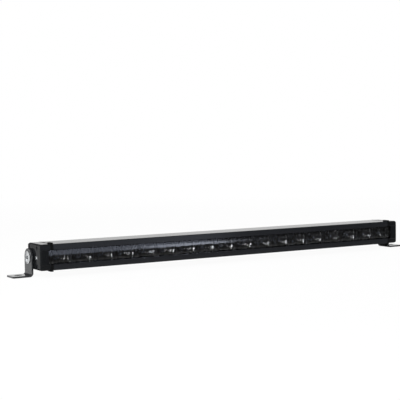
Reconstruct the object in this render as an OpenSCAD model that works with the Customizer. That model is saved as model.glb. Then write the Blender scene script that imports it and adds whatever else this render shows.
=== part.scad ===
// Slim single-row LED light bar on two tilting end brackets.
// X runs along the bar, the light leaves towards -Y, Z is up.
// The origin is on the mounting plane, midway between the two foot slots and under the tilt axis.

/* [Optics] */
// Number of LED cells in the row
led_n = 18; // [6:1:24]
// Distance from one LED to the next
led_pitch = 27.4; // [22:0.1:34]
// Depth of a reflector cup, from its rim to the LED board
cup_depth = 10; // [9.5:0.5:14]
// Radius of the opening at the foot of a cup
cup_base_r = 4; // [3.5:0.1:5]
// Ridge left between two cups
cup_ridge = 0.8; // [0.6:0.1:2]
// Wall above and below a cup
cup_wall = 0.9; // [0.7:0.1:1.4]
// Thickness of the lens
lens_t = 3; // [2:0.1:4]
// How far the middle of the lens stands forward of its edges
lens_crown = 1; // [0.4:0.1:1.6]
// How far the window runs past each end of the row of cells
window_margin = 1.5; // [0:0.1:3]
// How far the lens runs past each end of the window
lens_end_lap = 2.2; // [1.5:0.1:3]
// Thickness of the seal between the lens and the lips
lens_seal_t = 0.8; // [0.5:0.1:1.2]

/* [Housing] */
// Height of the bar
bar_h = 29.5; // [24:0.5:36]
// Height of the lip above and below the window
lip_h = 6.6; // [5.5:0.1:8]
// Thickness of the lips
lip_t = 2; // [1.6:0.1:2.6]
// How far the outer edge of a lip leans back
lip_lean = 0.8; // [0.2:0.1:1.6]
// Thickness of the top, bottom and rear walls
wall_t = 2.4; // [2:0.1:3]
// Thickness of the web that carries the LED board
web_t = 5; // [3:0.1:6]
// Clear depth of the driver bay behind the web
driver_bay_d = 9.7; // [6.8:0.1:12]
// Number of cooling fins
fin_n = 4; // [3:1:5]
// Thickness of a fin
fin_t = 2; // [1.5:0.1:2.2]
// Distance from one fin to the next
fin_pitch = 4.2; // [3.8:0.1:4.6]
// Length of the fins behind the rear wall
fin_l = 8.5; // [5:0.5:10]
// Height of the middle of the fin stack above the middle of the bar
fin_mid = -4; // [-4.5:0.1:0]

/* [End caps] */
// How far a cap reaches past the end of the window
cap_border = 9.4; // [8.5:0.1:13]
// How far a cap overlaps the window's end inwards, up to the seam
cap_reach = 6.2; // [5:0.1:8]
// Thickness of the cap gasket
cap_seal_t = 3.2; // [1.5:0.1:3.6]
// Step from the raised front panel of a cap back to its bands
cap_step = 0.9; // [0.4:0.1:1.2]
// Radius of a cap's outer upright edges
cap_round = 2.5; // [1.5:0.1:3]
// Radius of a cap's outer level edges
cap_edge_r = 2.4; // [0.8:0.1:3]
// Radius of the window's corners
window_corner_r = 2.2; // [0.5:0.1:2.4]
// Depth of the gasket's tab along the top and bottom walls
seal_tab_d = 8.5; // [6:0.5:14]
// How far the gasket's tab stands proud
seal_tab_h = 1.4; // [0.6:0.1:1.6]

/* [Brackets] */
// Width of the bracket strap
strap_w = 20.5; // [16:0.5:22]
// Thickness of the bracket strap
strap_t = 2; // [1.8:0.1:3]
// Inside radius of the bracket's bend
bend_r = 2.4; // [1.2:0.1:3]
// Length of a foot, from the arm's inner face to its end
foot_l = 24; // [22:0.5:32]
// Radius of the foot's corners
foot_corner_r = 2; // [1:0.5:4]
// Width of the foot's slot
slot_w = 6.6; // [5.5:0.1:8.5]
// Length of the foot's slot
slot_l = 9; // [8.6:0.1:11]
// Distance from the foot's end to the middle of its slot
slot_edge = 10; // [7.5:0.5:11]
// Height of the tilt axis above the mounting plane
pivot_z = 21.3; // [19:0.1:30]
// Drop of the tilt axis below the middle of the bar
pivot_drop = 1.4; // [0:0.1:3]
// Distance from the web's front face back to the tilt axis
pivot_back = 10.8; // [9:0.1:12]
// Thickness of the spacer washer between a cap and its bracket
spacer_t = 1; // [0.8:0.1:4]

/* [Fasteners] */
// Radius of the pivot bolt
bolt_r = 3; // [2.5:0.5:3]
// Radius of the pivot bolt's flange
bolt_flange_r = 7; // [6:0.1:8]
// Running clearance round the pivot bolt in the bracket
pivot_gap = 0.1; // [0.05:0.01:0.2]
// Outside radius of the threaded insert
insert_r = 4.5; // [4:0.1:5]
// Length of the threaded insert
insert_l = 9; // [6:0.5:9]
// Radius of a cap screw
cap_screw_r = 1.5; // [1.25:0.05:1.5]
// Radius of a board screw
board_screw_r = 1.25; // [1:0.05:1.5]

/* [Cable and vent] */
// Place of the cable gland along the bar
gland_x = -150; // [-170:1:-90]
// Place of the breather vent along the bar
vent_x = 150; // [90:1:170]
// Radius of the gland's thread
gland_r = 6; // [5:0.5:6]
// Radius of the cable hole in the gland's seal
cable_r = 3.1; // [2.5:0.1:3.5]

/* [Hidden] */
$fn = 64;

// Clearances: pieces that slide together, threads, free holes, and a cutter's overshoot
slide_gap = 0.25;
thread_gap = 0.05;
hole_gap = 0.2;
over = 1;
// Room past the lens's ends, between lens and reflector, and between reflector and ledges
lens_end_gap = 0.6;
lens_air = 0.8;
ledge_gap = 0.6;

// Stations along the bar
row_l = led_n * led_pitch;
window_l = row_l + 2 * window_margin;
housing_l = window_l - 2 * cap_reach;
cap_x0 = housing_l / 2 + cap_seal_t;
cap_x1 = window_l / 2 + cap_border;
lens_l = window_l + 2 * lens_end_lap;
pocket_x = lens_l / 2 + lens_end_gap;
board_l = row_l - 2 * slide_gap;

// Stations from the front of the bar to its back
ear_lap = 0.4;
lens_u = lip_t + lens_seal_t;
lens_back_u = lens_u + lens_t;
lens_rib_u = lens_back_u + slide_gap;
lens_rib_t = 1.4;
refl_u = lens_back_u + lens_air;
board_t = 1.6;
board_u = refl_u + cup_depth;
pad_t = 0.7;
pad_u = board_u + board_t;
web_u = pad_u + pad_t;
bay_u = web_u + web_t;
rear_u = bay_u + driver_bay_d;
body_d = rear_u + wall_t;
fin_end_u = body_d + fin_l;
cap_back_u = fin_end_u + ear_lap;
pivot_u = web_u + pivot_back;

// Heights about the middle of the bar
bay_h = bar_h - 2 * wall_t;
window_h = bar_h - 2 * lip_h;
lens_h = bay_h - 2 * slide_gap;
pocket_h = lens_h + 2 * thread_gap;
cup_h = window_h;
refl_h = cup_h + 2 * cup_wall;
ledge_v = refl_h / 2 + ledge_gap;
flange_t = 2.3;
flange_u = board_u - flange_t;
ledge_t = 1.5;
ledge_u = flange_u - slide_gap - ledge_t;
bar_mid_z = pivot_z + pivot_drop;

// Paraboloid of the cups: r^2 = 4 f z, with z measured from its vertex behind the board
cup_rim_r = (led_pitch - cup_ridge) / 2;
cup_focus = (pow(cup_rim_r, 2) - pow(cup_base_r, 2)) / (4 * cup_depth);
cup_base_z = pow(cup_base_r, 2) / (4 * cup_focus);
cup_steps = 10;

// Open ports for the cap screws: two in the optics bay, two that bite into the driver bay's rear wall
port_r = cap_screw_r + thread_gap;
port_wall = 1.4;
port_v = refl_h / 2 + slide_gap + cap_screw_r;
port_half = port_r + port_wall;
port_mouth = 0.4;
port_bite = 0.6;
port_front_u = lens_rib_u + lens_rib_t + port_half;
port_rear_u = rear_u - port_r + port_bite;
ports = [for (u = [port_front_u, port_rear_u], v = [-port_v, port_v]) [u, v]];

// Width of the spacer washer's ring
spacer_wall = 1.4;

// Cap screws and the test plug, whose heads are sunk into the cap so that the bracket swings past them
cap_head_r = 2.5;
cap_head_h = 1.8;
cap_head_sink = 1.2;
cap_screw_bite = 8;
cap_screw_l = cap_x1 - cap_head_sink - housing_l / 2 + cap_screw_bite;
plug_u = port_front_u + 3;
plug_bleed_r = 0.8;
plug_v = -0.7;
plug_r = 2;
plug_l = 5;
plug_head_r = 3;
plug_socket = 2.5;
small_socket = 2;

// Board screws stand between every second pair of cells, the link to the driver between two others
screw_cells = [1:2:led_n - 1];
link_x = cell_x(2 * ceil(led_n / 4)) - led_pitch / 2;
board_head_r = 2.3;
board_head_h = 1.6;
pocket_r = 2.9;
pocket_d = 2.1;

// LED parts
led_w = 3.45;
led_t = 0.8;
phosphor_w = 2;
phosphor_t = 0.2;
dome_r = 1.65;

// Driver parts
driver_l = 120;
driver_h = 2 * (port_v - port_half - slide_gap);
driver_t = 1.6;
driver_pad_t = 0.7;
driver_u = rear_u - driver_pad_t - driver_t;
driver_screw_x = driver_l / 2 - 4;
driver_tap_d = wall_t - 0.8;
driver_room = driver_u - bay_u;
driver_edge = 0.8;

// Link between the boards
link_pitch = 2.54;
link_pin_r = 0.4;
link_sleeve_r = 2.6;
link_tail = 0.5;

// Gland and vent: a gap as wide as mill_w is milled through the fins down to the rear wall
gland_ring_t = 1.2;
gland_tail = 0.5;
gland_hex = 16;
gland_body_t = 4;
gland_stub_l = 6;
gland_top = gland_ring_t + gland_body_t + gland_stub_l;
gland_nut_h = 11;
gland_lock_t = 3;
gland_lock_hex = 13;
seal_r = gland_r - 1.6;
seal_l = 7;
mill_w = 21;
vent_r = 3;
vent_head_r = 6;
vent_head_h = 3.4;
vent_ring_t = 1;

// Places a part in the bar's own axes: X along it, Y back from its front, Z up from its middle
module in_bar() {
    translate([0, -pivot_u, bar_mid_z]) children();
}

// Extrudes a profile drawn in depth and height along the bar
module along_bar(x0, x1) {
    translate([x0, 0, 0]) rotate([90, 0, 90]) linear_extrude(x1 - x0) children();
}

module up_and_down() {
    children();
    mirror([0, 1]) children();
}

// A piece of the right end, or its mirror image for the left one
module at_end(side) {
    mirror([side < 0 ? 1 : 0, 0, 0]) children();
}

// Turns a piece modelled along Z so that it points out of the right end
module outwards() {
    rotate([0, 90, 0]) children();
}

// Turns a piece modelled along Z so that it points to the back
module backwards() {
    rotate([-90, 0, 0]) children();
}

// Turns a piece modelled along Z so that it points to the front
module forwards() {
    rotate([90, 0, 0]) children();
}

module hex_prism(across, h) {
    cylinder(d = across / cos(30), h = h, $fn = 6);
}

module tube(r_out, r_in, h) {
    difference() {
        cylinder(r = r_out, h = h);
        translate([0, 0, -over]) cylinder(r = r_in, h = h + 2 * over);
    }
}

// Low domed screw head with a hexagon socket, its seat at z = 0
module button_head(r, h, socket) {
    crown = 0.75 * h;
    ball_r = (pow(r, 2) + pow(crown, 2)) / (2 * crown);
    difference() {
        rotate_extrude() intersection() {
            translate([0, h - ball_r]) circle(ball_r);
            square([r, h]);
        }
        translate([0, 0, 0.4 * h]) hex_prism(socket, h);
    }
}

module round_box_2d(w, h, r) {
    translate([r, 0]) square([w - 2 * r, h]);
    translate([0, r]) square([w, h - 2 * r]);
    for (x = [r, w - r], y = [r, h - r]) translate([x, y]) circle(r);
}

// Outline of the bar's section: flat walls, and a front at front_u that leans back along both lips
module body_outline(front_u, edge = 0.6) {
    half_h = bar_h / 2;
    rear = [[body_d, half_h - edge], [body_d - edge, half_h]];
    lean_u = front_u + lip_lean;
    front = [[lean_u + edge, half_h], [lean_u, half_h - edge], [front_u, window_h / 2]];
    upper = concat(rear, front);
    lower = [for (i = [len(upper) - 1:-1:0]) [upper[i][0], -upper[i][1]]];
    polygon(concat(upper, lower));
}

module fin_stack() {
    for (i = [0:fin_n - 1]) {
        v = fin_mid + (i - (fin_n - 1) / 2) * fin_pitch;
        translate([body_d - over, v - fin_t / 2]) square([fin_l + over - fin_t / 2, fin_t]);
        translate([fin_end_u - fin_t / 2, v]) circle(d = fin_t);
    }
}

// Upper half of what stands inside the walls: lens ribs, reflector ledges and screw ports
module inner_ribs() {
    rib_h = bay_h / 2 - ledge_v + over;
    root_h = bay_h / 2 - port_v + over;
    for (rib = [[lens_rib_u, lens_rib_t], [ledge_u, ledge_t]])
        translate([rib[0], ledge_v]) square([rib[1], rib_h]);
    for (u = [port_front_u, port_rear_u])
        translate([u - port_half, port_v - port_mouth]) square([2 * port_half, root_h]);
}

module housing_section() {
    difference() {
        union() {
            difference() {
                body_outline(0);
                translate([lip_t, -bay_h / 2]) square([web_u - lip_t, bay_h]);
                translate([-over, -window_h / 2]) square([lip_t + 2 * over, window_h]);
                translate([bay_u, -bay_h / 2]) square([driver_bay_d, bay_h]);
            }
            up_and_down() inner_ribs();
            fin_stack();
        }
        for (p = ports) translate(p) circle(port_r);
    }
}

// Black extruded profile: lips, optics bay, web, driver bay and cooling fins
module housing() {
    color("#1d1e20") in_bar() difference() {
        along_bar(-housing_l / 2, housing_l / 2) housing_section();
        for (x = [gland_x, vent_x])
            translate([x - mill_w / 2, body_d, -bar_h / 2]) cube([mill_w, fin_l + over, bar_h]);
        for (hole = [[gland_x, gland_r], [vent_x, vent_r]]) translate([hole[0], rear_u - over, 0])
            backwards() cylinder(r = hole[1] + thread_gap, h = wall_t + 2 * over);
        at_board_screws() translate([0, web_u - over, 0])
            backwards() cylinder(r = board_screw_r + thread_gap, h = web_t + 2 * over);
        translate([link_x, web_u - over, 0])
            backwards() cylinder(r = link_sleeve_r + hole_gap, h = web_t + 2 * over);
        for (side = [-1, 1]) translate([side * driver_screw_x, rear_u - over, 0])
            backwards() cylinder(r = board_screw_r + thread_gap, h = driver_tap_d + over);
    }
}

// Clear strip that slides in behind the lips, with a crowned middle that stands into the window
module lens() {
    crown_l = window_l - 2 * slide_gap;
    crown_h = window_h - 2 * slide_gap;
    crown_r = (pow(crown_h / 2, 2) + pow(lens_crown, 2)) / (2 * lens_crown);
    color("#c8d2da", 0.35) in_bar() {
        translate([-lens_l / 2, lens_u, -lens_h / 2]) cube([lens_l, lens_t, lens_h]);
        along_bar(-crown_l / 2, crown_l / 2) translate([lens_u - lens_crown, 0]) intersection() {
            translate([crown_r, 0]) circle(crown_r, $fn = 256);
            translate([0, -crown_h / 2]) square([lens_crown + lens_t / 2, crown_h]);
        }
    }
}

module lens_gasket() {
    open_l = window_l + 2 * slide_gap;
    open_h = window_h + 2 * slide_gap;
    color("#141414") in_bar() translate([0, lip_t, 0]) difference() {
        translate([-lens_l / 2, 0, -lens_h / 2]) cube([lens_l, lens_seal_t, lens_h]);
        translate([-open_l / 2, -over, -open_h / 2]) cube([open_l, lens_seal_t + 2 * over, open_h]);
    }
}

// Middle of cell i along the bar
function cell_x(i) = (i - (led_n - 1) / 2) * led_pitch;

// Height of the paraboloid above the board at radius r
function cup_z(r) = pow(r, 2) / (4 * cup_focus) - cup_base_z;

module at_cells() {
    for (i = [0:led_n - 1]) translate([cell_x(i), 0, 0]) children();
}

module at_board_screws() {
    for (i = screw_cells) translate([cell_x(i) - led_pitch / 2, 0, 0]) children();
}

// Space inside one cup: a paraboloid cut flat above and below
module cup_space() {
    radii = [for (k = [0:cup_steps]) cup_base_r + (cup_rim_r - cup_base_r) * k / cup_steps];
    curve = [for (r = radii) [r, cup_z(r)]];
    foot = [[0, -over], [cup_base_r, -over]];
    mouth = [[cup_rim_r, cup_depth + over], [0, cup_depth + over]];
    intersection() {
        translate([0, board_u, 0]) forwards() rotate_extrude() polygon(concat(foot, curve, mouth));
        translate([-led_pitch / 2, refl_u - 2 * over, -cup_h / 2])
            cube([led_pitch, cup_depth + 4 * over, cup_h]);
    }
}

// Dark metallised moulding with a row of cups and a flange that slides behind the ledges
module reflector_strip() {
    color("#3c4046") in_bar() difference() {
        union() {
            translate([-row_l / 2, refl_u, -refl_h / 2]) cube([row_l, cup_depth, refl_h]);
            translate([-row_l / 2, flange_u, -lens_h / 2]) cube([row_l, flange_t, lens_h]);
        }
        at_cells() cup_space();
        at_board_screws() reflector_pocket();
        translate([link_x, 0, 0]) reflector_pocket();
    }
}

// Room behind the reflector for a screw head or the ends of the link pins
module reflector_pocket() {
    translate([0, board_u + over, 0]) forwards() cylinder(r = pocket_r, h = pocket_d + over);
}

module at_link_pins() {
    for (side = [-1, 1]) translate([link_x, 0, side * link_pitch / 2]) children();
}

// Aluminium-core board that carries the LEDs
module led_board() {
    color("#1c1f22") in_bar() difference() {
        translate([-board_l / 2, board_u, -lens_h / 2]) cube([board_l, board_t, lens_h]);
        at_board_screws() translate([0, board_u - over, 0])
            backwards() cylinder(r = board_screw_r + hole_gap, h = board_t + 2 * over);
        at_link_pins() translate([0, board_u - over, 0])
            backwards() cylinder(r = link_pin_r + thread_gap, h = board_t + 2 * over);
    }
}

module led_packages() {
    color("#f4f1e4") in_bar() at_cells()
        translate([-led_w / 2, board_u - led_t, -led_w / 2]) cube([led_w, led_t, led_w]);
}

module led_phosphors() {
    color("#f0d24a") in_bar() at_cells() phosphor_pad();
}

module phosphor_pad() {
    translate([-phosphor_w / 2, board_u - led_t - phosphor_t, -phosphor_w / 2])
        cube([phosphor_w, phosphor_t, phosphor_w]);
}

module led_domes() {
    color("#f2f4f6", 0.6) in_bar() at_cells() difference() {
        translate([0, board_u - led_t, 0]) sphere(dome_r);
        translate([-dome_r - over, board_u - led_t, -dome_r - over])
            cube([2 * (dome_r + over), dome_r + over, 2 * (dome_r + over)]);
        phosphor_pad();
    }
}

module thermal_pad() {
    inset = 1;
    pad_l = board_l - 2 * inset;
    pad_h = lens_h - 2 * inset;
    color("#8fa7b8") in_bar() difference() {
        translate([-pad_l / 2, pad_u, -pad_h / 2]) cube([pad_l, pad_t, pad_h]);
        at_board_screws() translate([0, pad_u - over, 0])
            backwards() cylinder(r = board_screw_r + hole_gap, h = pad_t + 2 * over);
        translate([link_x, pad_u - over, 0])
            backwards() cylinder(r = link_sleeve_r + hole_gap, h = pad_t + 2 * over);
    }
}

// Pan-head screw whose head seats on a face at depth u and whose shank runs backwards
module board_screw(u, l) {
    translate([0, u, 0]) {
        forwards() button_head(board_head_r, board_head_h, small_socket);
        backwards() cylinder(r = board_screw_r, h = l);
    }
}

module board_screws() {
    color("#b9bcc0") in_bar() at_board_screws() board_screw(board_u, web_u + web_t - board_u - slide_gap);
}

module driver_board() {
    color("#1f5a38") in_bar() difference() {
        translate([-driver_l / 2, driver_u, -driver_h / 2]) cube([driver_l, driver_t, driver_h]);
        for (side = [-1, 1]) translate([side * driver_screw_x, driver_u - over, 0])
            backwards() cylinder(r = board_screw_r + hole_gap, h = driver_t + 2 * over);
        at_link_pins() translate([0, driver_u - over, 0])
            backwards() cylinder(r = link_pin_r + thread_gap, h = driver_t + 2 * over);
    }
}

module driver_pad() {
    inset = 1;
    pad_l = 2 * (driver_screw_x - 2 * board_head_r);
    pad_h = driver_h - 2 * inset;
    color("#8fa7b8") in_bar() difference() {
        translate([-pad_l / 2, driver_u + driver_t, -pad_h / 2]) cube([pad_l, driver_pad_t, pad_h]);
        translate([link_x, driver_u, 0])
            backwards() cylinder(r = link_sleeve_r, h = driver_t + driver_pad_t + over);
    }
}

module driver_screws() {
    color("#b9bcc0") in_bar() for (side = [-1, 1]) translate([side * driver_screw_x, 0, 0])
        board_screw(driver_u, rear_u - driver_u + driver_tap_d - slide_gap);
}

// Block that stands on the driver board and reaches towards the web
module on_driver(x, v, w, h, t) {
    translate([x - w / 2, driver_u - t, v - h / 2]) cube([w, t, h]);
}

// The same, set in from the board's upper edge
module under_edge(x, w, h, t) {
    on_driver(x, driver_h / 2 - driver_edge - h / 2, w, h, t);
}

module driver_inductors() {
    coil_r = 3.2;
    base_w = 2 * coil_r + 0.6;
    base_t = 0.8;
    v = driver_edge + base_w / 2 - driver_h / 2;
    color("#2a2c2e") in_bar() for (x = [-20, -10, 10]) {
        on_driver(x, v, base_w, base_w, base_t);
        translate([x, driver_u, v]) forwards() cylinder(r = coil_r, h = driver_room - 1.3);
    }
}

module driver_capacitors() {
    color("#b98a3c") in_bar() {
        for (x = [-44, -38, -32]) under_edge(x, 4.3, 7, 2.8);
        for (x = [-2, 2]) under_edge(x, 2.5, 3.2, 1.6);
    }
}

// Two control chips, and two power transistors beside the link
module driver_chips() {
    color("#17181a") in_bar() {
        for (x = [-26.4, 18]) under_edge(x, 5, 4, 1.6);
        for (x = [8.6, 16.6]) on_driver(link_x + x, 0, 6, driver_h - 6, 2.2);
    }
}

// Terminal block for the supply leads, with two wire holes in its outer end
module supply_terminal() {
    block_w = 5.5;
    block_x = board_head_r + slide_gap + block_w / 2 - driver_screw_x;
    block_t = driver_room - 1.1;
    wire_r = 1;
    color("#e6e6df") in_bar() difference() {
        on_driver(block_x, 0, block_w, driver_h - 5, block_t);
        for (v = [-2.5, 2.5]) translate([block_x - block_w / 2 - over, driver_u - block_t / 2, v])
            outwards() cylinder(r = wire_r, h = block_w / 2 + over);
    }
}

// Two pins from the driver board through the web to the LED board
module link_pins() {
    pin_l = driver_u + driver_t - board_u + 2 * link_tail;
    color("#d8b65c") in_bar() at_link_pins() translate([0, board_u - link_tail, 0])
        backwards() cylinder(r = link_pin_r, h = pin_l, $fn = 24);
}

module link_sleeve() {
    color("#202020") in_bar() difference() {
        translate([link_x, pad_u, 0]) backwards() cylinder(r = link_sleeve_r, h = driver_u - pad_u);
        at_link_pins() translate([0, pad_u - over, 0])
            backwards() cylinder(r = link_pin_r + thread_gap, h = driver_u - pad_u + 2 * over, $fn = 24);
    }
}

// Places a piece at the gland, with Z pointing out of the back and zero on the rear wall
module at_gland() {
    in_bar() translate([gland_x, body_d, 0]) backwards() children();
}

module gland_body() {
    inner_l = wall_t + gland_lock_t + gland_tail;
    color("#17181a") at_gland() difference() {
        union() {
            translate([0, 0, -inner_l]) cylinder(r = gland_r, h = inner_l + gland_top);
            translate([0, 0, gland_ring_t]) rotate(30) hex_prism(gland_hex, gland_body_t);
        }
        translate([0, 0, -inner_l - over])
            cylinder(r = cable_r + 2 * hole_gap, h = inner_l + gland_top - seal_l + 2 * over);
        translate([0, 0, gland_top - seal_l]) cylinder(r = seal_r + thread_gap, h = seal_l + over);
    }
}

module gland_o_ring() {
    color("#101010") at_gland() tube(gland_hex / 2 - gland_tail, gland_r + thread_gap, gland_ring_t);
}

module gland_locknut() {
    color("#a88a4a") at_gland() translate([0, 0, -wall_t - gland_lock_t]) difference() {
        rotate(30) hex_prism(gland_lock_hex, gland_lock_t);
        translate([0, 0, -over]) cylinder(r = gland_r + thread_gap, h = gland_lock_t + 2 * over);
    }
}

// Rubber sleeve that the nut squeezes round the cable
module gland_seal() {
    color("#202022") at_gland() translate([0, 0, gland_top - seal_l])
        tube(seal_r, cable_r, seal_l);
}

module gland_nut() {
    dome_h = 4;
    grip_h = gland_nut_h - dome_h;
    dome_r = gland_hex / 2 - 0.2;
    thread_l = gland_stub_l - gland_tail + thread_gap;
    color("#17181a") at_gland() translate([0, 0, gland_ring_t + gland_body_t + gland_tail]) difference() {
        union() {
            rotate(30) hex_prism(gland_hex, grip_h);
            translate([0, 0, grip_h]) rotate_extrude() intersection() {
                translate([0, -over]) circle(dome_r);
                translate([0, -over]) square([dome_r, dome_h + over]);
            }
        }
        translate([0, 0, -over]) cylinder(r = gland_r + thread_gap, h = thread_l + over);
        translate([0, 0, -over]) cylinder(r = cable_r + hole_gap, h = gland_nut_h + 2 * over);
    }
}

// Places a piece at the vent, with Z pointing out of the back and zero on the rear wall
module at_vent() {
    in_bar() translate([vent_x, body_d, 0]) backwards() children();
}

// Plug with a membrane under a slotted cap: it lets the sealed housing breathe
module breather_vent() {
    slots = 6;
    rim = 1;
    stub_l = wall_t + 2;
    color("#17181a") at_vent() difference() {
        union() {
            translate([0, 0, -stub_l]) cylinder(r = vent_r, h = stub_l + vent_ring_t);
            translate([0, 0, vent_ring_t]) cylinder(r = vent_head_r, h = vent_head_h - rim);
            translate([0, 0, vent_ring_t + vent_head_h - rim]) cylinder(r = vent_head_r - rim, h = rim);
        }
        for (i = [0:slots - 1]) rotate(i * 360 / slots)
            translate([vent_head_r - 1.6, -0.6, vent_ring_t + 0.8]) cube([3, 1.2, 1]);
        translate([0, 0, -stub_l - over]) cylinder(r = vent_r / 3, h = stub_l + over);
    }
}

module vent_o_ring() {
    color("#101010") at_vent() tube(vent_r + 1.6, vent_r + thread_gap, vent_ring_t);
}

// Section of an end cap: bands set back behind a raised panel, and an ear that covers the ends of the fins
module cap_outline() {
    ear_h = fin_n * fin_pitch;
    ear_r = 2.5;
    root = 3 * ear_r;
    band_edge = 1.6;
    panel_v = window_h / 2;
    foot_v = panel_v + cap_step;
    body_outline(cap_step, band_edge);
    polygon([[lip_t, foot_v], [cap_step, foot_v], [0, panel_v],
             [0, -panel_v], [cap_step, -foot_v], [lip_t, -foot_v]]);
    translate([body_d - root, fin_mid - ear_h / 2]) round_box_2d(cap_back_u - body_d + root, ear_h, ear_r);
}

// Block that rounds a cap's outer edges, seen from above and from the front
module cap_rounding() {
    cap_l = cap_x1 - cap_x0;
    intersection() {
        translate([cap_x0 - cap_l, 0, -bar_h]) linear_extrude(2 * bar_h)
            round_box_2d(2 * cap_l, cap_back_u, cap_round);
        translate([cap_x0 - cap_l, cap_back_u + over, -bar_h / 2]) forwards()
            linear_extrude(cap_back_u + 2 * over) round_box_2d(2 * cap_l, bar_h, cap_edge_r);
    }
}

module at_ports() {
    for (p = ports) translate([0, p[0], p[1]]) children();
}

// Counterbore in a cap's outer face
module head_seat(head_r) {
    translate([cap_x1 - cap_head_sink, 0, 0])
        outwards() cylinder(r = head_r + hole_gap, h = cap_head_sink + over);
}

// The window's round-cornered end, cut through a cap's front
module window_end() {
    inner_x = cap_x0 - 2 * window_corner_r;
    translate([inner_x, lip_t + over, -window_h / 2]) forwards() linear_extrude(lip_t + 2 * over)
        round_box_2d(window_l / 2 - inner_x, window_h, window_corner_r);
}

// Cast cap with a notch for the window's end, a pocket for the lens and boards, and its screw holes
module end_cap(side) {
    color("#1a1b1d") in_bar() at_end(side) difference() {
        intersection() {
            along_bar(cap_x0, cap_x1) cap_outline();
            cap_rounding();
        }
        translate([cap_x0 - over, lip_t, -pocket_h / 2])
            cube([pocket_x - cap_x0 + over, web_u - lip_t, pocket_h]);
        window_end();
        at_ports() {
            translate([cap_x0 - over, 0, 0])
                outwards() cylinder(r = cap_screw_r + hole_gap, h = cap_x1 - cap_x0 + 2 * over);
            head_seat(cap_head_r);
        }
        translate([cap_x1 - insert_l, pivot_u, -pivot_drop])
            outwards() cylinder(r = insert_r, h = insert_l + over);
        if (side < 0) {
            translate([0, plug_u, plug_v]) head_seat(plug_head_r);
            translate([cap_x1 - plug_l, plug_u, plug_v])
                outwards() cylinder(r = plug_r + thread_gap, h = plug_l + over);
            translate([pocket_x - over, plug_u, plug_v])
                outwards() cylinder(r = plug_bleed_r, h = cap_x1 - pocket_x);
        }
    }
}

module left_end_cap() { end_cap(-1); }
module right_end_cap() { end_cap(1); }

// Rubber sheet in the seam, open for the window and the optics bay, with a proud tab above and below
module cap_gasket(side) {
    tab_h = bar_h + 2 * seal_tab_h;
    color("#101011") in_bar() at_end(side) along_bar(cap_x0 - cap_seal_t, cap_x0) difference() {
        union() {
            body_outline(cap_step / 2);
            translate([2 * lip_lean, -tab_h / 2]) square([seal_tab_d, tab_h]);
        }
        translate([lip_t, -pocket_h / 2]) square([web_u - lip_t, pocket_h]);
        translate([-over, -window_h / 2]) square([lip_t + 2 * over, window_h]);
        for (p = ports) translate(p) circle(cap_screw_r + hole_gap);
    }
}

module left_cap_gasket() { cap_gasket(-1); }
module right_cap_gasket() { cap_gasket(1); }

module cap_screws(side) {
    color("#26282a") in_bar() at_end(side) at_ports() translate([cap_x1 - cap_head_sink, 0, 0]) outwards() {
        button_head(cap_head_r, cap_head_h, small_socket);
        translate([0, 0, -cap_screw_l]) cylinder(r = cap_screw_r, h = cap_screw_l);
    }
}

module left_cap_screws() { cap_screws(-1); }
module right_cap_screws() { cap_screws(1); }

// Places a piece on the tilt axis, with Z pointing out of the end and zero on the cap's outer face
module on_pivot(side) {
    at_end(side) translate([cap_x1, 0, pivot_z]) outwards() children();
}

// Brass bush with a thread, pressed into the cap
module pivot_insert(side) {
    color("#b8963e") on_pivot(side) translate([0, 0, -insert_l])
        tube(insert_r, bolt_r + thread_gap, insert_l);
}

module left_pivot_insert() { pivot_insert(-1); }
module right_pivot_insert() { pivot_insert(1); }

// Flat stainless bolt with a dished flange: it clamps the bracket and carries it when the bar is tilted
module pivot_bolt(side) {
    seat = spacer_t + strap_t;
    flange_h = 0.8;
    dish = 0.4;
    rim = 0.9;
    head_h = 1;
    head_r = bolt_flange_r - 2.4;
    socket = 4;
    socket_d = 2;
    end_gap = 0.8;
    shank_l = seat + insert_l - end_gap;
    color("#d4d6d8") on_pivot(side) difference() {
        union() {
            translate([0, 0, seat]) difference() {
                cylinder(r = bolt_flange_r, h = flange_h);
                translate([0, 0, flange_h - dish]) cylinder(r = bolt_flange_r - rim, h = dish + over);
            }
            translate([0, 0, seat]) button_head(head_r, head_h, socket);
            translate([0, 0, seat - shank_l]) cylinder(r = bolt_r, h = shank_l + dish / 2);
        }
        translate([0, 0, seat + head_h - socket_d]) hex_prism(socket, socket_d + over);
    }
}

module left_pivot_bolt() { pivot_bolt(-1); }
module right_pivot_bolt() { pivot_bolt(1); }

module spacer(side) {
    color("#2b2c2e") on_pivot(side) tube(bolt_r + spacer_wall, bolt_r + thread_gap, spacer_t);
}

module left_spacer() { spacer(-1); }
module right_spacer() { spacer(1); }

// Bright screw that closes the leak-test hole in the left cap
module test_plug() {
    shank_l = plug_l - cap_head_sink - slide_gap;
    color("#c9ccce") in_bar() at_end(-1) translate([cap_x1 - cap_head_sink, plug_u, plug_v]) outwards() {
        button_head(plug_head_r, cap_head_h, plug_socket);
        translate([0, 0, -shank_l]) cylinder(r = plug_r, h = shank_l);
    }
}

// Side view of a bracket: an arm, a bend and a foot that runs outwards from the bar
module bracket_profile() {
    outer_r = bend_r + strap_t;
    translate([0, outer_r]) square([strap_t, pivot_z + strap_w / 2 - outer_r]);
    translate([outer_r, 0]) square([foot_l - outer_r, strap_t]);
    translate([outer_r, outer_r]) intersection() {
        difference() {
            circle(outer_r);
            circle(bend_r);
        }
        translate([-outer_r, -outer_r]) square(outer_r);
    }
}

// Outline of the arm seen from the end: a strap with a round top about the tilt axis
module arm_outline() {
    translate([-strap_w / 2, -over]) square([strap_w, pivot_z + over]);
    translate([0, pivot_z]) circle(strap_w / 2);
}

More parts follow.
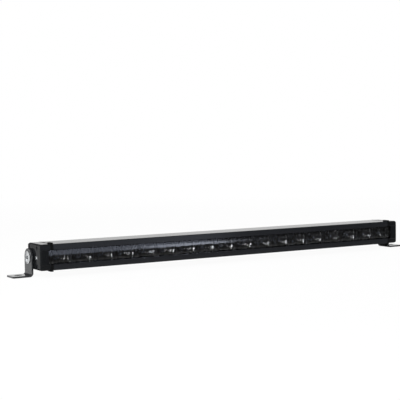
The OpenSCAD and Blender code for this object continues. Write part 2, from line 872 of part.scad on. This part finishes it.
// Outline of the foot seen from above, with the slot for its mounting bolt
module foot_outline() {
    slot_x = foot_l - slot_edge;
    difference() {
        union() {
            translate([-over, -strap_w / 2]) square([foot_l + over - foot_corner_r, strap_w]);
            translate([0, foot_corner_r - strap_w / 2]) square([foot_l, strap_w - 2 * foot_corner_r]);
            for (s = [-1, 1]) translate([foot_l - foot_corner_r, s * (strap_w / 2 - foot_corner_r)])
                circle(foot_corner_r);
        }
        for (s = [-1, 1]) translate([slot_x + s * (slot_l - slot_w) / 2, 0]) circle(d = slot_w);
        translate([slot_x - (slot_l - slot_w) / 2, -slot_w / 2]) square([slot_l - slot_w, slot_w]);
    }
}

// Bent steel strap: the bolt passes through its round top, the foot is bolted to the vehicle
module bracket(side) {
    color("#4a4c4f") at_end(side) translate([cap_x1 + spacer_t, 0, 0]) difference() {
        intersection() {
            translate([0, strap_w / 2, 0]) forwards() linear_extrude(strap_w) bracket_profile();
            translate([-over, 0, 0]) rotate([90, 0, 90]) linear_extrude(foot_l + 2 * over) arm_outline();
            translate([0, 0, -over]) linear_extrude(pivot_z + strap_w + 2 * over) foot_outline();
        }
        translate([-over, 0, pivot_z]) outwards() cylinder(r = bolt_r + pivot_gap, h = strap_t + 2 * over);
    }
}

module left_bracket() { bracket(-1); }
module right_bracket() { bracket(1); }

housing();
lens();
lens_gasket();
reflector_strip();
led_board();
led_packages();
led_phosphors();
led_domes();
thermal_pad();
board_screws();
driver_board();
driver_pad();
driver_screws();
driver_inductors();
driver_capacitors();
driver_chips();
supply_terminal();
link_pins();
link_sleeve();
gland_body();
gland_o_ring();
gland_locknut();
gland_seal();
gland_nut();
breather_vent();
vent_o_ring();
left_end_cap();
right_end_cap();
left_cap_gasket();
right_cap_gasket();
left_cap_screws();
right_cap_screws();
left_pivot_insert();
right_pivot_insert();
left_pivot_bolt();
right_pivot_bolt();
left_spacer();
right_spacer();
test_plug();
left_bracket();
right_bracket();
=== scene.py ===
import math

import bpy
from mathutils import Matrix, Vector


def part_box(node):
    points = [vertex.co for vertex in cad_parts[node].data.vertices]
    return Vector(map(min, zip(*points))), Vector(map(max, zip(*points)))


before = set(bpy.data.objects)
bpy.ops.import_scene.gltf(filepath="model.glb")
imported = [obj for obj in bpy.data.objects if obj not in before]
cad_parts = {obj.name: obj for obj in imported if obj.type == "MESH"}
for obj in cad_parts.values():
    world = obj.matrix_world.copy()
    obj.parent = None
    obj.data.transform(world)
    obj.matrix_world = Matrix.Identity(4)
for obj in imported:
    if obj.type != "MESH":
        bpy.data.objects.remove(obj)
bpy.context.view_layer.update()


# Housing: one length of extruded aluminium with two front lips, a long window and cooling fins
# behind. It is sawn to length and black anodised, so it carries faint draw lines along the bar
# under a satin skin.

# The colour sockets of a Mix node: its two inputs and its result.
mix_first, mix_second, mix_out = 6, 7, 2


def to_linear(code):
    channels = [int(code[i:i + 2], 16) / 255 for i in (1, 3, 5)]
    return [c / 12.92 if c <= 0.04045 else ((c + 0.055) / 1.055) ** 2.4 for c in channels] + [1.0]


def fill(tree, node, values=None, links=None):
    for name, value in (values or {}).items():
        node.inputs[name].default_value = value
    for name, source in (links or {}).items():
        tree.links.new(source, node.inputs[name])


def add(tree, kind, values=None, links=None, **settings):
    node = tree.nodes.new(kind)
    for name, value in settings.items():
        setattr(node, name, value)
    fill(tree, node, values, links)
    return node


def start_finish(name):
    material = bpy.data.materials.new(name)
    material.use_nodes = True
    tree = material.node_tree
    place = add(tree, "ShaderNodeTexCoord").outputs["Object"]
    return material, tree, tree.nodes["Principled BSDF"], place


def per_metre(size_mm):
    return 1000 / size_mm


def metres(size_mm):
    return size_mm / 1000


def round_off():
    # Curved faces shade smoothly, and edges that turn more than this stay crisp.
    crease_degrees = 28
    group = bpy.data.node_groups.new("soft_shading", "GeometryNodeTree")
    group.interface.new_socket("Geometry", in_out="INPUT", socket_type="NodeSocketGeometry")
    group.interface.new_socket("Geometry", in_out="OUTPUT", socket_type="NodeSocketGeometry")
    mesh_in = add(group, "NodeGroupInput").outputs[0]
    smooth = add(group, "GeometryNodeSetShadeSmooth", {"Shade Smooth": True}, {"Geometry": mesh_in})
    angle = add(group, "GeometryNodeInputMeshEdgeAngle").outputs["Unsigned Angle"]
    is_sharp = add(group, "FunctionNodeCompare", {1: math.radians(crease_degrees)}, {0: angle},
                   operation="GREATER_THAN")
    crisp = add(group, "GeometryNodeSetShadeSmooth", {"Shade Smooth": False},
                {"Geometry": smooth.outputs[0], "Selection": is_sharp.outputs[0]}, domain="EDGE")
    add(group, "NodeGroupOutput", links={0: crisp.outputs[0]})
    return group


soft_shading = round_off()


def finish_nodes(material, *names):
    for name in names:
        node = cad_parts[name]
        for slot in node.material_slots:
            slot.link = "OBJECT"
            slot.material = material
        node.modifiers.new("soft_shading", "NODES").node_group = soft_shading
        flats = node.modifiers.new("flat_faces", "WEIGHTED_NORMAL")
        flats.keep_sharp = True
        flats.weight = 100


def black_anodised_aluminium():
    # A dyed oxide skin over drawn metal: deep black face on, a bright sheen at a glance, fine lines
    # lengthwise. The real lines are about 0.2 mm apart; they are drawn coarser so that they show.
    draw_line_mm, draw_length_mm, grain_mm, relief_mm = 0.9, 180, 0.35, 0.02
    grain_share = 0.35
    material, tree, skin, place = start_finish("black_anodised_aluminium")
    stretch = (per_metre(draw_length_mm), per_metre(draw_line_mm), per_metre(draw_line_mm))
    along = add(tree, "ShaderNodeMapping", {"Scale": stretch}, {"Vector": place})
    lines = add(tree, "ShaderNodeTexNoise", {"Scale": 1.0, "Detail": 3.0},
                {"Vector": along.outputs[0]})
    grain = add(tree, "ShaderNodeTexNoise", {"Scale": per_metre(grain_mm), "Detail": 2.0},
                {"Vector": place})
    mixed = add(tree, "ShaderNodeMath", {1: grain_share},
                {0: grain.outputs[0], 2: lines.outputs[0]}, operation="MULTIPLY_ADD")
    rough = add(tree, "ShaderNodeMapRange",
                {"From Min": 0.4, "From Max": 1.0, "To Min": 0.1, "To Max": 0.18},
                {"Value": mixed.outputs[0]})
    tint = add(tree, "ShaderNodeMix",
               {mix_first: to_linear("#1c1d1f"), mix_second: to_linear("#242528")},
               {0: lines.outputs[0]}, data_type="RGBA")
    bump = add(tree, "ShaderNodeBump", {"Strength": 0.25, "Distance": metres(relief_mm)},
               {"Height": mixed.outputs[0]})
    fill(tree, skin,
         {"Specular IOR Level": 0.0, "Coat Weight": 1.0, "Coat IOR": 1.16, "Coat Roughness": 0.12},
         {"Base Color": tint.outputs[mix_out], "Roughness": rough.outputs[0],
          "Normal": bump.outputs[0]})
    return material


finish_nodes(black_anodised_aluminium(), "housing")


# Driver: a green circuit board with its coils, capacitors, chips and terminal, screwed to the rear
# wall over a soft pad. Two pins in a sleeve take its current through the web to the LEDs. It is
# sealed inside the housing and shows only when the part is taken apart.

def speckled(name, dark, pale, speck_mm, roughness, metallic=0.0, bump_mm=0.02, gloss=0.5):
    # A fine even grain: small shifts of colour, gloss and height. Real grain is finer; it is drawn
    # so that it shows.
    spread = 0.06
    material, tree, skin, place = start_finish(name)
    specks = add(tree, "ShaderNodeTexNoise", {"Scale": per_metre(speck_mm), "Detail": 3.0},
                 {"Vector": place})
    tint = add(tree, "ShaderNodeMix", {mix_first: to_linear(dark), mix_second: to_linear(pale)},
               {0: specks.outputs[0]}, data_type="RGBA")
    rough = add(tree, "ShaderNodeMapRange",
                {"To Min": roughness - spread, "To Max": roughness + spread},
                {"Value": specks.outputs[0]})
    bump = add(tree, "ShaderNodeBump", {"Strength": 0.3, "Distance": metres(bump_mm)},
               {"Height": specks.outputs[0]})
    fill(tree, skin, {"Metallic": metallic, "Specular IOR Level": gloss},
         {"Base Color": tint.outputs[mix_out], "Roughness": rough.outputs[0],
          "Normal": bump.outputs[0]})
    return material


# Green solder mask is glossy and a little uneven, and filled silicone sheet is soft, matte and
# blue-grey.
finish_nodes(speckled("green_solder_mask", "#14452a", "#1d5a38", speck_mm=3.0, roughness=0.35),
             "driver_board")
silicone_gap_pad = speckled("silicone_gap_pad", "#7f93a2", "#93a6b4", speck_mm=1.2, roughness=0.7)
finish_nodes(silicone_gap_pad, "driver_pad")
# Ferrite is dull and granular, and moulded tantalum cases are smooth ochre.
finish_nodes(speckled("ferrite", "#232426", "#303235", speck_mm=0.6, roughness=0.6),
             "driver_inductors")
finish_nodes(speckled("tantalum_case", "#a77a30", "#bd9044", speck_mm=0.8, roughness=0.5),
             "driver_capacitors")
# Moulded nylon: low gloss with the fine grain of a spark-eroded mould, white or black.
finish_nodes(speckled("white_nylon", "#d9d9d2", "#e8e8e2", speck_mm=0.8, roughness=0.5),
             "supply_terminal")
black_nylon = speckled("black_nylon", "#111213", "#1c1d1f", speck_mm=0.5, roughness=0.5)
finish_nodes(black_nylon, "driver_chips", "link_sleeve")
# Zinc plate is a soft silver grey, and turned brass a warm yellow with a satin shine.
zinc_plate = speckled("zinc_plate", "#9fa2a6", "#b9bcc0", speck_mm=0.6, roughness=0.3, metallic=1.0)
finish_nodes(zinc_plate, "driver_screws")
turned_brass = speckled("turned_brass", "#9c7c34", "#b4934a", speck_mm=0.4, roughness=0.3,
                        metallic=1.0)
finish_nodes(turned_brass, "link_pins")


# LEDs: a grey ceramic package with a dull yellow phosphor square under a clear silicone dome, one
# to a cup. They are soldered to a black-masked aluminium board that is screwed down on a soft pad.

# Pressed and fired nitride: a dull mid grey, darkened as painted shade where the LEDs sit deep in
# the cups. Phosphor powder in silicone: a flat, dusty yellow while unlit, darkened the same way as
# painted shade.
finish_nodes(speckled("nitride_ceramic_with_painted_shade", "#4a4b4a", "#5a5b5a", speck_mm=0.5, roughness=0.4),
             "led_packages")
finish_nodes(speckled("phosphor_silicone_with_painted_shade", "#5c5026", "#6e6030", speck_mm=0.3, roughness=0.55),
             "led_phosphors")
# Printed solder mask: an even black with a low gloss.
finish_nodes(speckled("black_solder_mask", "#141618", "#1e2023", speck_mm=2.0, roughness=0.4),
             "led_board")
finish_nodes(silicone_gap_pad, "thermal_pad")
finish_nodes(zinc_plate, "board_screws")


def clear_silicone():
    # Cast silicone: a clear bead with a slight haze that bends the light of the phosphor under it.
    haze_mm = 0.6
    material, tree, skin, place = start_finish("clear_silicone")
    haze = add(tree, "ShaderNodeTexNoise", {"Scale": per_metre(haze_mm), "Detail": 2.0},
               {"Vector": place})
    rough = add(tree, "ShaderNodeMapRange", {"To Min": 0.03, "To Max": 0.1},
                {"Value": haze.outputs[0]})
    fill(tree, skin,
         {"Base Color": to_linear("#f4f5f6"), "Transmission Weight": 1.0, "IOR": 1.41},
         {"Roughness": rough.outputs[0]})
    return material


finish_nodes(clear_silicone(), "led_domes")


# Reflector: one moulded strip of cups behind the lens, dark metallised in a vacuum chamber.
# Upright flutes, nine to a cup, spread the beam sideways. The cups' lips stay bare and black, and
# the strip's ends are painted black as painted shade where the window ends.

def dark_metallised_plastic():
    # A thin mirror coat over dark plastic: each flute breaks the image of a lamp into a small
    # bright stroke.
    cell_mm, flutes_per_cell, flute_mm, ripple_mm, rim_mm, shade_end_mm = 27.4, 9, 0.18, 9, 2.0, 6
    black_rough, coated_rough = 0.6, 0.1
    material, tree, skin, place = start_finish("dark_metallised_plastic")
    axes = add(tree, "ShaderNodeSeparateXYZ", links={0: place})
    lowest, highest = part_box("reflector_strip")
    rim_y, strip_end = lowest[1], highest[0]
    inside = add(tree, "ShaderNodeMath", {1: rim_y + metres(rim_mm)}, {0: axes.outputs["Y"]},
                 operation="GREATER_THAN")
    reach = add(tree, "ShaderNodeMath", links={0: axes.outputs["X"]}, operation="ABSOLUTE")
    # Near each end of the strip the mirror coat is left off: a painted shade where the window ends.
    clear = add(tree, "ShaderNodeMath", {1: strip_end - metres(shade_end_mm)}, {0: reach.outputs[0]},
                operation="LESS_THAN")
    coated = add(tree, "ShaderNodeMath", links={0: inside.outputs[0], 1: clear.outputs[0]},
                 operation="MULTIPLY")
    turn = add(tree, "ShaderNodeMath", {1: 2 * math.pi * flutes_per_cell * per_metre(cell_mm)},
               {0: axes.outputs["X"]}, operation="MULTIPLY")
    flutes = add(tree, "ShaderNodeMath", links={0: turn.outputs[0]}, operation="COSINE")
    ripple = add(tree, "ShaderNodeTexNoise", {"Scale": per_metre(ripple_mm), "Detail": 2.0},
                 {"Vector": place})
    tint = add(tree, "ShaderNodeMix",
               {mix_first: to_linear("#4f4e4e"), mix_second: to_linear("#5b5a5a")},
               {0: ripple.outputs[0]}, data_type="RGBA")
    # This black is the bare lips and the painted shade at the strip's ends.
    colour = add(tree, "ShaderNodeMix", {mix_first: to_linear("#0e0f10")},
                 {0: coated.outputs[0], mix_second: tint.outputs[mix_out]}, data_type="RGBA")
    rough = add(tree, "ShaderNodeMapRange", {"To Min": black_rough, "To Max": coated_rough},
                {"Value": coated.outputs[0]})
    bump = add(tree, "ShaderNodeBump", {"Strength": 1.0, "Distance": metres(flute_mm)},
               {"Height": flutes.outputs[0]})
    fill(tree, skin, links={"Base Color": colour.outputs[mix_out], "Metallic": coated.outputs[0],
                            "Roughness": rough.outputs[0], "Normal": bump.outputs[0]})
    return material


finish_nodes(dark_metallised_plastic(), "reflector_strip")


# Lens: a flat strip of clear polycarbonate that slides in behind the lips, on a thin rubber seal.
# Its front is gently crowned, so it shows a soft band of the room over the dark cups.

def clear_polycarbonate():
    # Moulded and hard-coated polycarbonate: a smooth satin gloss in front. The inner face is
    # bloomed against reflections, so there is no second image.
    wave_mm, inner_mm = 60, 0.2
    material, tree, skin, place = start_finish("clear_polycarbonate")
    wave = add(tree, "ShaderNodeTexNoise", {"Scale": per_metre(wave_mm), "Detail": 1.0},
               {"Vector": place})
    polish = add(tree, "ShaderNodeMapRange", {"To Min": 0.08, "To Max": 0.13},
                 {"Value": wave.outputs[0]})
    axes = add(tree, "ShaderNodeSeparateXYZ", links={0: place})
    inner_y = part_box("lens")[1][1] - metres(inner_mm)
    inner = add(tree, "ShaderNodeMath", {1: inner_y}, {0: axes.outputs["Y"]},
                operation="GREATER_THAN")
    bloom = add(tree, "ShaderNodeMix",
                {mix_first: to_linear("#ffffff"), mix_second: to_linear("#000000")},
                {0: inner.outputs[0]}, data_type="RGBA")
    fill(tree, skin,
         {"Base Color": to_linear("#eef1f4"), "Transmission Weight": 1.0, "IOR": 1.585},
         {"Specular Tint": bloom.outputs[mix_out], "Roughness": polish.outputs[0]})
    return material


finish_nodes(clear_polycarbonate(), "lens")
# Moulded silicone rubber: a dead matte black that swallows the light.
silicone_rubber = speckled("black_silicone_rubber", "#070707", "#0d0d0e", speck_mm=0.5,
                           roughness=0.7, gloss=0.1)
finish_nodes(silicone_rubber, "lens_gasket")


# Gland and vent: a moulded nylon cable gland with its seal, nut, O-ring and brass locknut, and a
# small nylon breather with an O-ring of its own. Both are screwed through the rear wall.

finish_nodes(black_nylon, "gland_body", "gland_nut", "breather_vent")
finish_nodes(silicone_rubber, "gland_o_ring", "gland_seal", "vent_o_ring")
finish_nodes(turned_brass, "gland_locknut")


# End caps: black powder-coated castings that close the housing, each with a raised front panel.
# The baked powder leaves a fine orange-peel skin, a little duller than the extrusion. Each cap is
# screwed on over a thin rubber gasket.

def black_powder_coat():
    # Baked powder: a black with almost no depth of gloss face on, that turns pale only where it is
    # seen edge on.
    peel_mm, cloud_mm, relief_mm = 0.9, 12, 0.06
    material, tree, skin, place = start_finish("black_powder_coat")
    peel = add(tree, "ShaderNodeTexNoise", {"Scale": per_metre(peel_mm), "Detail": 2.0},
               {"Vector": place})
    cloud = add(tree, "ShaderNodeTexNoise", {"Scale": per_metre(cloud_mm), "Detail": 3.0},
                {"Vector": place})
    tint = add(tree, "ShaderNodeMix",
               {mix_first: to_linear("#121314"), mix_second: to_linear("#191a1c")},
               {0: cloud.outputs[0]}, data_type="RGBA")
    rough = add(tree, "ShaderNodeMapRange", {"To Min": 0.06, "To Max": 0.12},
                {"Value": cloud.outputs[0]})
    bump = add(tree, "ShaderNodeBump", {"Strength": 0.08, "Distance": metres(relief_mm)},
               {"Height": peel.outputs[0]})
    fill(tree, skin, {"IOR": 1.5, "Specular IOR Level": 0.06},
         {"Base Color": tint.outputs[mix_out], "Roughness": rough.outputs[0],
          "Normal": bump.outputs[0]})
    return material


finish_nodes(black_powder_coat(), "left_end_cap", "right_end_cap")
finish_nodes(silicone_rubber, "left_cap_gasket", "right_cap_gasket")
# Black oxide on steel: a thin dark skin that lets a little of the metal shine through.
black_oxide_steel = speckled("black_oxide_steel", "#1b1c1e", "#2c2d30", speck_mm=0.4,
                             roughness=0.35, metallic=0.6)
finish_nodes(black_oxide_steel, "left_cap_screws", "right_cap_screws")


# Pivots: flat stainless bolts with a dished flange through the brackets, and one small plug in the
# left cap. They are turned and polished, so they are the brightest pieces on the bar. The bolts run
# through nylon spacers into brass inserts that are pressed into the caps.

# Polished stainless steel: a bright neutral mirror, softened a little by fine turning marks.
polished_stainless = speckled("polished_stainless", "#b9bbbd", "#d6d8da", speck_mm=0.5,
                              roughness=0.2, metallic=1.0, bump_mm=0.005)
finish_nodes(polished_stainless, "left_pivot_bolt", "right_pivot_bolt", "test_plug")
finish_nodes(black_nylon, "left_spacer", "right_spacer")
finish_nodes(turned_brass, "left_pivot_insert", "right_pivot_insert")


# Brackets: steel straps cut, punched and bent to an L, with a semi-gloss dark coat.
# The coat is thin, so the strap's flat faces mirror the light softly.

def coated_strap_steel():
    # Dipped and baked paint on rolled strap: dark grey, smooth, with a clear sheen and a slightly
    # rubbed look.
    peel_mm, rub_mm, relief_mm = 1.4, 7, 0.04
    material, tree, skin, place = start_finish("coated_strap_steel")
    peel = add(tree, "ShaderNodeTexNoise", {"Scale": per_metre(peel_mm), "Detail": 2.0},
               {"Vector": place})
    rub = add(tree, "ShaderNodeTexNoise", {"Scale": per_metre(rub_mm), "Detail": 4.0},
              {"Vector": place})
    tint = add(tree, "ShaderNodeMix",
               {mix_first: to_linear("#1e1f21"), mix_second: to_linear("#28292b")},
               {0: rub.outputs[0]}, data_type="RGBA")
    rough = add(tree, "ShaderNodeMapRange", {"To Min": 0.08, "To Max": 0.15},
                {"Value": rub.outputs[0]})
    bump = add(tree, "ShaderNodeBump", {"Strength": 0.1, "Distance": metres(relief_mm)},
               {"Height": peel.outputs[0]})
    fill(tree, skin, {"IOR": 1.5, "Specular IOR Level": 0.4},
         {"Base Color": tint.outputs[mix_out], "Roughness": rough.outputs[0],
          "Normal": bump.outputs[0]})
    return material


finish_nodes(coated_strap_steel(), "left_bracket", "right_bracket")


# Studio: a pale floor that fades to white, a room that is bright behind, dim in front and half lit
# overhead, and four soft lamps. Glossy faces mirror the same white floor and room behind the bar,
# and a dim floor in front of it, as in a dark studio.

def mirror_rays(tree, path):
    return add(tree, "ShaderNodeMath", operation="MAXIMUM",
               links={0: path.outputs["Is Glossy Ray"], 1: path.outputs["Is Transmission Ray"]})


def studio_floor():
    # Matte painted board: no gloss, a plain pale grey that keeps a soft shadow. To the camera it
    # is almost white near the bar and white far off.
    half_m, near_m, far_m, front_m, dark_m = 12.0, 0.5, 1.6, -0.032, -0.075
    near_white, far_white, mirror_white, mirror_dim = 0.95, 1.0, 1.0, 0.12
    mesh = bpy.data.meshes.new("floor")
    corners = [(-half_m, -half_m, 0), (half_m, -half_m, 0), (half_m, half_m, 0),
               (-half_m, half_m, 0)]
    mesh.from_pydata(corners, [], [(0, 1, 2, 3)])
    floor = bpy.data.objects.new("floor", mesh)
    bpy.context.scene.collection.objects.link(floor)
    material, tree, skin, place = start_finish("pale_floor")
    fill(tree, skin,
         {"Base Color": to_linear("#e6e6e6"), "Roughness": 0.9, "Specular IOR Level": 0.0})
    path = add(tree, "ShaderNodeLightPath")
    mirror = mirror_rays(tree, path)
    reach = add(tree, "ShaderNodeVectorMath", links={0: place}, operation="LENGTH")
    far = add(tree, "ShaderNodeMapRange", {"From Min": near_m, "From Max": far_m},
              {"Value": reach.outputs["Value"]}, interpolation_type="SMOOTHSTEP")
    axes = add(tree, "ShaderNodeSeparateXYZ", links={0: place})
    front = add(tree, "ShaderNodeMapRange", {"From Min": front_m, "From Max": dark_m},
                {"Value": axes.outputs["Y"]}, interpolation_type="SMOOTHSTEP")
    away = add(tree, "ShaderNodeMath", links={0: far.outputs[0], 1: front.outputs[0]},
               operation="MAXIMUM")
    mirrored = add(tree, "ShaderNodeMath", links={0: mirror.outputs[0], 1: away.outputs[0]},
                   operation="MULTIPLY")
    fade = add(tree, "ShaderNodeMapRange", {"To Min": near_white, "To Max": far_white},
               {"Value": far.outputs[0]})
    seen = add(tree, "ShaderNodeMath", operation="MULTIPLY_ADD",
               links={0: path.outputs["Is Camera Ray"], 1: fade.outputs[0], 2: mirrored.outputs[0]})
    dim = add(tree, "ShaderNodeMapRange", {"To Min": mirror_white, "To Max": mirror_dim},
              {"Value": front.outputs[0]})
    level = add(tree, "ShaderNodeMath", operation="MAXIMUM",
                links={0: dim.outputs[0], 1: path.outputs["Is Camera Ray"]})
    glow = add(tree, "ShaderNodeEmission", links={"Strength": level.outputs[0]})
    mix = add(tree, "ShaderNodeMixShader",
              links={0: seen.outputs[0], 1: skin.outputs[0], 2: glow.outputs[0]})
    fill(tree, tree.nodes["Material Output"], links={"Surface": mix.outputs[0]})
    mesh.materials.append(material)


studio_floor()


def studio_room():
    # To the camera the room is white. In mirrors its back wall is white up to a low edge, its
    # front is dim, and its ceiling is half lit. The rest of its light is plain and even.
    front_y, back_y, wall_top_z, wall_end_z, roof_start_z, roof_z = -0.3, 0.3, 0.2, 0.36, 0.5, 0.8
    wall_level, dim_level, roof_level, plain_level = 0.92, 0.08, 0.5, 0.5
    world = bpy.data.worlds.new("room")
    bpy.context.scene.world = world
    world.use_nodes = True
    tree = world.node_tree
    place = add(tree, "ShaderNodeTexCoord").outputs["Generated"]
    axes = add(tree, "ShaderNodeSeparateXYZ", links={0: place})
    depth = add(tree, "ShaderNodeMapRange", {"From Min": front_y, "From Max": back_y},
                {"Value": axes.outputs["Y"]}, interpolation_type="SMOOTHSTEP")
    height = add(tree, "ShaderNodeMapRange",
                 {"From Min": wall_top_z, "From Max": wall_end_z, "To Min": 1.0, "To Max": 0.0},
                 {"Value": axes.outputs["Z"]}, interpolation_type="SMOOTHSTEP")
    wall = add(tree, "ShaderNodeMath", links={0: depth.outputs[0], 1: height.outputs[0]},
               operation="MULTIPLY")
    roof = add(tree, "ShaderNodeMapRange",
               {"From Min": roof_start_z, "From Max": roof_z, "To Min": dim_level,
                "To Max": roof_level},
               {"Value": axes.outputs["Z"]}, interpolation_type="SMOOTHSTEP")
    mirrored = add(tree, "ShaderNodeMath", {1: wall_level},
                   {0: wall.outputs[0], 2: roof.outputs[0]}, operation="MULTIPLY_ADD")
    path = add(tree, "ShaderNodeLightPath")
    mirror = mirror_rays(tree, path)
    indoors = add(tree, "ShaderNodeMix", {"A": plain_level},
                  {"Factor": mirror.outputs[0], "B": mirrored.outputs[0]})
    white = add(tree, "ShaderNodeMix", {"B": 1.0},
                {"Factor": path.outputs["Is Camera Ray"], "A": indoors.outputs[0]})
    fill(tree, tree.nodes["Background"], {"Color": to_linear("#ffffff")},
         {"Strength": white.outputs[0]})


studio_room()


def soft_lamp(name, at, aim, size, radiance, colour="#ffffff"):
    lamp = bpy.data.lights.new(name, "AREA")
    lamp.shape = "RECTANGLE"
    lamp.size, lamp.size_y = size
    lamp.energy = radiance * math.pi * size[0] * size[1]
    lamp.color = to_linear(colour)[:3]
    panel = bpy.data.objects.new(name, lamp)
    panel.location = at
    panel.rotation_euler = (Vector(aim) - Vector(at)).to_track_quat("-Z", "Y").to_euler()
    bpy.context.scene.collection.objects.link(panel)


soft_lamp("overhead", at=(-1.2, -0.1, 1.6), aim=(0, 0, 0), size=(1.4, 1.6), radiance=1.6)
soft_lamp("front", at=(0.76, -2.5, 0.515), aim=(0.76, 0, 0.515), size=(1.56, 0.97), radiance=1.55,
          colour="#d3dcf2")
soft_lamp("strip", at=(1.37, -2.45, 0.26), aim=(1.37, 0, 0.26), size=(0.34, 0.46), radiance=3.8,
          colour="#dfe6f6")
soft_lamp("key", at=(-1.45, -0.92, 0.9), aim=(0, 0, 0.03), size=(0.4, 1.1), radiance=22)


# Camera: stands at the left front, a little above the bar, on a long lens.
# It is turned a little about its axis, because the picture is.

def studio_camera():
    stand = (-0.7203, -1.1343, 0.1528)
    yaw, pitch, roll = math.radians(31.19), math.radians(3.297), math.radians(-0.79)
    lens = bpy.data.cameras.new("camera")
    lens.lens = 97.3
    lens.sensor_width = 36
    lens.clip_start = 0.05
    camera = bpy.data.objects.new("camera", lens)
    bpy.context.scene.collection.objects.link(camera)
    ahead = Vector((math.sin(yaw) * math.cos(pitch), math.cos(yaw) * math.cos(pitch),
                    -math.sin(pitch)))
    level = Vector((math.cos(yaw), -math.sin(yaw), 0))
    upright = level.cross(ahead)
    right = level * math.cos(roll) + upright * math.sin(roll)
    up = upright * math.cos(roll) - level * math.sin(roll)
    turn = Matrix((right, up, -ahead)).transposed().to_4x4()
    camera.matrix_world = Matrix.Translation(stand) @ turn
    bpy.context.scene.camera = camera


studio_camera()
bpy.context.scene.view_settings.view_transform = "Standard"
